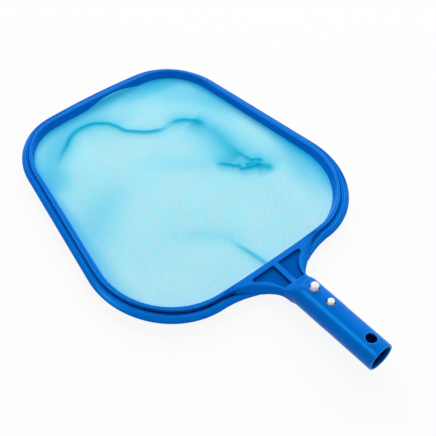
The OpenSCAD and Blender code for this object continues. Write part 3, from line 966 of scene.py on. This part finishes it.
class Nodes:
    """Short calls for building the node tree of a material or of the surroundings."""

    def __init__(self, holder):
        holder.use_nodes = True
        self.holder = holder
        self.tree = holder.node_tree
        self.tree.nodes.clear()

    def add(self, kind, inputs, **settings):
        """A node with its settings and inputs. An input that is a socket is linked, and any other
        value is set on the socket."""
        node = self.tree.nodes.new(kind)
        for key, value in settings.items():
            setattr(node, key, value)
        for key, value in inputs.items():
            if isinstance(value, bpy.types.NodeSocket):
                self.tree.links.new(value, node.inputs[key])
            else:
                node.inputs[key].default_value = value
        return node

    def math(self, operation, a, b=0.0, c=0.0):
        return self.add("ShaderNodeMath", {0: a, 1: b, 2: c}, operation=operation).outputs[0]

    def place(self):
        """Each point's place on its piece in metres."""
        return self.add("ShaderNodeTexCoord", {}).outputs["Object"]

    def stored(self, name):
        """A number kept on the piece's points."""
        return self.add("ShaderNodeAttribute", {}, attribute_name=name).outputs["Fac"]

    def noise(self, place, scale, detail, roughness=0.5):
        return self.add("ShaderNodeTexNoise", {
            "Vector": place, "Scale": scale, "Detail": detail, "Roughness": roughness,
        }).outputs["Fac"]

    def ramp(self, fac, *stops):
        """A colour between two, each given with the fac that it stands at."""
        node = self.add("ShaderNodeValToRGB", {"Fac": fac})
        for element, (position, colour) in zip(node.color_ramp.elements, stops):
            element.position = position
            element.color = (*colour, 1.0)
        return node.outputs["Color"]

    def stretch(self, fac, low, high, start=0.0, end=1.0):
        """A value from low to high as fac goes from start to end."""
        return self.add("ShaderNodeMapRange", {
            "Value": fac, "From Min": start, "From Max": end, "To Min": low, "To Max": high,
        }).outputs["Result"]

    def tint(self, share, colour, other):
        """A colour with a share of another one in it."""
        inputs = {0: share, 6: colour, 7: (*other, 1.0)}
        return self.add("ShaderNodeMix", inputs, data_type="RGBA").outputs[2]

    def bump(self, height, strength, distance):
        inputs = {"Height": height, "Strength": strength, "Distance": distance}
        return self.add("ShaderNodeBump", inputs).outputs["Normal"]

    def seen(self):
        """1 for a ray that the camera, a reflection or a clear piece sends out, and else 0."""
        rays = self.add("ShaderNodeLightPath", {}).outputs
        either = self.math("MAXIMUM", rays["Is Camera Ray"], rays["Is Glossy Ray"])
        return self.math("MAXIMUM", either, rays["Is Transmission Ray"])

    def blend(self, share, first, second):
        """One shader with a share of another."""
        return self.add("ShaderNodeMixShader", {0: share, 1: first, 2: second}).outputs[0]

    def finish(self, shader, output="ShaderNodeOutputMaterial"):
        self.add(output, {"Surface": shader})
        return self.holder

    def principled(self, inputs):
        """The finished material, with one principled shader."""
        return self.finish(self.add("ShaderNodeBsdfPrincipled", inputs).outputs["BSDF"])


def material_nodes(name):
    return Nodes(bpy.data.materials.new(name))


WHITE = (1.0, 1.0, 1.0, 1.0)
FRAME_BLUE = (0.0, 0.175, 0.72)
FRAME_BLUE_DEEP = (0.0, 0.160, 0.67)
# The blues of the painted highlight and of the painted shade
PAINTED_HIGHLIGHT_BLUE = (0.01, 0.31, 0.95)
PAINTED_SHADE_BLUE = (0.0, 0.020, 0.16)


def moulded_blue():
    """Glossy moulded plastic: a blue that varies faintly in slow clouds, with a fine skin. Crests
    get a painted highlight, and recesses and turned-away faces get painted shade and are made matt."""
    n = material_nodes("moulded_blue")
    clouds = n.noise(n.place(), 35.0, 3.0)
    skin = n.noise(n.place(), 420.0, 4.0, roughness=0.6)
    painted_highlight, painted_shade = n.stored("painted_highlight"), n.stored("painted_shade")
    colour = n.ramp(clouds, (0.35, FRAME_BLUE_DEEP), (0.65, FRAME_BLUE))
    # Painted highlight on crests, then painted shade in recesses and on turned-away faces
    colour = n.tint(painted_shade, n.tint(painted_highlight, colour, PAINTED_HIGHLIGHT_BLUE), PAINTED_SHADE_BLUE)
    rough = n.stretch(skin, 0.27, 0.35, start=0.3, end=0.7)
    shine = n.math("MAXIMUM", n.math("MULTIPLY_ADD", painted_shade, -0.8, 0.12), 0.0)
    return n.principled({
        "Base Color": colour, "Roughness": n.math("MULTIPLY_ADD", painted_shade, 0.4, rough),
        "Specular IOR Level": shine, "Specular Tint": (0.02, 0.45, 1.0, 1.0),
        "Normal": n.bump(skin, 0.12, 0.00012),
    })


def button_white():
    """White moulded plastic with a faint fine skin."""
    n = material_nodes("button_white")
    skin = n.noise(n.place(), 700.0, 3.0)
    return n.principled({
        "Base Color": n.ramp(skin, (0.3, (0.94, 0.94, 0.93)), (0.7, (0.97, 0.97, 0.96))),
        "Roughness": n.stretch(skin, 0.28, 0.42), "Normal": n.bump(skin, 0.08, 0.0001),
        "Subsurface Weight": 0.6, "Subsurface Radius": (1.0, 1.0, 1.0), "Subsurface Scale": 0.003,
    })


def brushed_steel():
    """Blued spring steel: dark metal whose fine rolling marks run along the strip."""
    n = material_nodes("brushed_steel")
    stretched = n.add("ShaderNodeMapping", {"Vector": n.place(), "Scale": (2600.0, 60.0, 2600.0)})
    marks = n.noise(stretched.outputs["Vector"], 1.0, 2.0)
    return n.principled({
        "Base Color": n.ramp(marks, (0.3, (0.10, 0.105, 0.12)), (0.7, (0.17, 0.175, 0.19))),
        "Metallic": 1.0, "Roughness": n.stretch(marks, 0.22, 0.42),
        "Normal": n.bump(marks, 0.15, 0.00005),
    })


NET_BLUE = (0.335, 0.82, 0.95)
NET_BLUE_DEEP = (0.26, 0.77, 0.92)
# The creases' blues: bunched threads, deepened further by painted shade
CREASE_BLUE = (0.0, 0.55, 0.86)
CREASE_CORE_BLUE = (0.0, 0.38, 0.61)
HEM_SHADE_BLUE = (0.0, 0.49, 0.83)

# The weave's pitch in metres, then half a thread's width as a share of it, and what the fuller
# of a crease and the hem's painted shade adds to that
WEAVE_PITCH = 0.0017
THREAD = 0.30
THREAD_CLOSING = 0.40


def net_weave():
    """Fine woven mesh: two sets of round threads over and under each other, open between. On the
    creases and along the hem the openings narrow and the blue deepens: on the creases by bunched
    threads with some painted shade, along the hem by painted shade of the walls."""
    n = material_nodes("net_weave")
    uv = n.add("ShaderNodeUVMap", {}, uv_map="weave").outputs["UV"]
    per_thread = (1 / WEAVE_PITCH, 1 / WEAVE_PITCH, 0.0)
    scaled = n.add("ShaderNodeVectorMath", {0: uv, 1: per_thread}, operation="MULTIPLY").outputs[0]
    split = n.add("ShaderNodeSeparateXYZ", {"Vector": scaled})
    crease, hem = n.stored("crease"), n.stored("hem")
    weave_closing = n.math("MAXIMUM", crease, hem)
    width = n.math("MINIMUM", n.math("MULTIPLY_ADD", weave_closing, THREAD_CLOSING, THREAD), 0.5)
    height = []
    for axis in ("X", "Y"):
        wave = n.math("FRACT", split.outputs[axis])
        off = n.math("ABSOLUTE", n.math("SUBTRACT", wave, 0.5))
        height.append(n.math("SUBTRACT", 1.0, n.math("DIVIDE", off, width)))
    thread = n.math("MAXIMUM", height[0], height[1])
    over = n.add("ShaderNodeTexChecker", {"Vector": scaled, "Scale": 1.0}).outputs["Fac"]
    clouds = n.noise(n.place(), 14.0, 3.0)
    colour = n.ramp(clouds, (0.35, NET_BLUE_DEEP), (0.65, NET_BLUE))
    # Deeper blue on the creases, partly painted shade, then painted shade along the hem
    colour = n.tint(crease, colour, CREASE_BLUE)
    colour = n.tint(n.math("POWER", crease, 3.0), colour, CREASE_CORE_BLUE)
    colour = n.tint(hem, colour, HEM_SHADE_BLUE)
    twist = n.math("ADD", thread, n.math("MULTIPLY", over, 0.3))
    return n.principled({
        "Base Color": colour, "Roughness": 0.6, "Alpha": n.math("GREATER_THAN", thread, 0.0),
        "Specular IOR Level": n.math("MULTIPLY_ADD", weave_closing, -0.15, 0.15),
        "Normal": n.bump(twist, 0.3, 0.0002),
    })


def floor_material():
    """Pale studio floor: plain white to the camera and to reflections, keeping a faint shadow."""
    n = material_nodes("floor_white")
    share = n.math("MULTIPLY", n.seen(), 0.90)
    matt = n.add("ShaderNodeBsdfDiffuse", {"Color": (0.92, 0.92, 0.92, 1.0)}).outputs[0]
    white = n.add("ShaderNodeEmission", {"Color": WHITE, "Strength": 1.0}).outputs[0]
    return n.finish(n.blend(share, matt, white))


# ---------- the scene


def dress(piece, material):
    piece.data.materials.clear()
    piece.data.materials.append(material)


def area_lamp(name, place, target, size, power):
    """A square soft lamp at a place in metres, facing a target."""
    data = bpy.data.lights.new(name, "AREA")
    data.size = size
    data.energy = power
    back = np.array(place) - target
    back /= np.linalg.norm(back)
    right = np.cross([0.0, 0.0, 1.0], back)
    right /= np.linalg.norm(right)
    return placed(name, data, right, np.cross(back, right), back, place)


def make_lights():
    """White surroundings to the eye and to reflections, soft grey as light, a large lamp, and a
    smaller one that shows only as a highlight."""
    world = bpy.data.worlds.new("studio")
    bpy.context.scene.world = world
    n = Nodes(world)
    soft = n.add("ShaderNodeBackground", {"Color": WHITE, "Strength": 0.49}).outputs[0]
    white = n.add("ShaderNodeBackground", {"Color": WHITE, "Strength": 1.0}).outputs[0]
    n.finish(n.blend(n.seen(), soft, white), output="ShaderNodeOutputWorld")
    area_lamp("key", (0.9, 1.4, 1.6), target=(0.0, 0.2, 0.0), size=2.6, power=42.0)
    edge_light = area_lamp("edge_light", (-1.03, 0.60, 1.10), target=(0.0, 0.1, 0.0), size=0.50, power=48.0)
    edge_light.visible_diffuse = False


FLOOR_HALF = 4000.0
FLOOR_GAP = 0.05


def make_floor():
    """A flat square just under the part."""
    k, z = FLOOR_HALF, cad_low[2] / MM - FLOOR_GAP
    floor = make_piece("floor", [(-k, -k, z), (k, -k, z), (k, k, z), (-k, k, z)], [(0, 1, 2, 3)])
    dress(floor, floor_material())


make_camera()
bpy.context.scene.view_settings.view_transform = "Standard"

blue = moulded_blue()
white = button_white()
steel = brushed_steel()

edge = make_frame_edge()
bar = make_gusset_bar()
handle = make_handle()
for piece in (edge, bar, handle):
    dress(piece, blue)
    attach(piece, BODY)
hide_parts("rim")
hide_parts("handle")

ring = make_net_ring()
dress(ring, blue)
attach(ring, BODY)
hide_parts("net_ring")

net, net_size, net_area = make_net()
dress(net, net_weave())
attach(net, BODY)
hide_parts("net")

for knob, node_name, arm in make_buttons():
    dress(knob, white)
    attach(knob, "upper_arm" if arm == "top" else "lower_arm")
    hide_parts(node_name)
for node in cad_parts.values():
    if node.name.startswith("clip_"):
        dress(node, steel)
    elif node.name.startswith(("release_", "lock_")):
        dress(node, white)

make_lights()
make_floor()
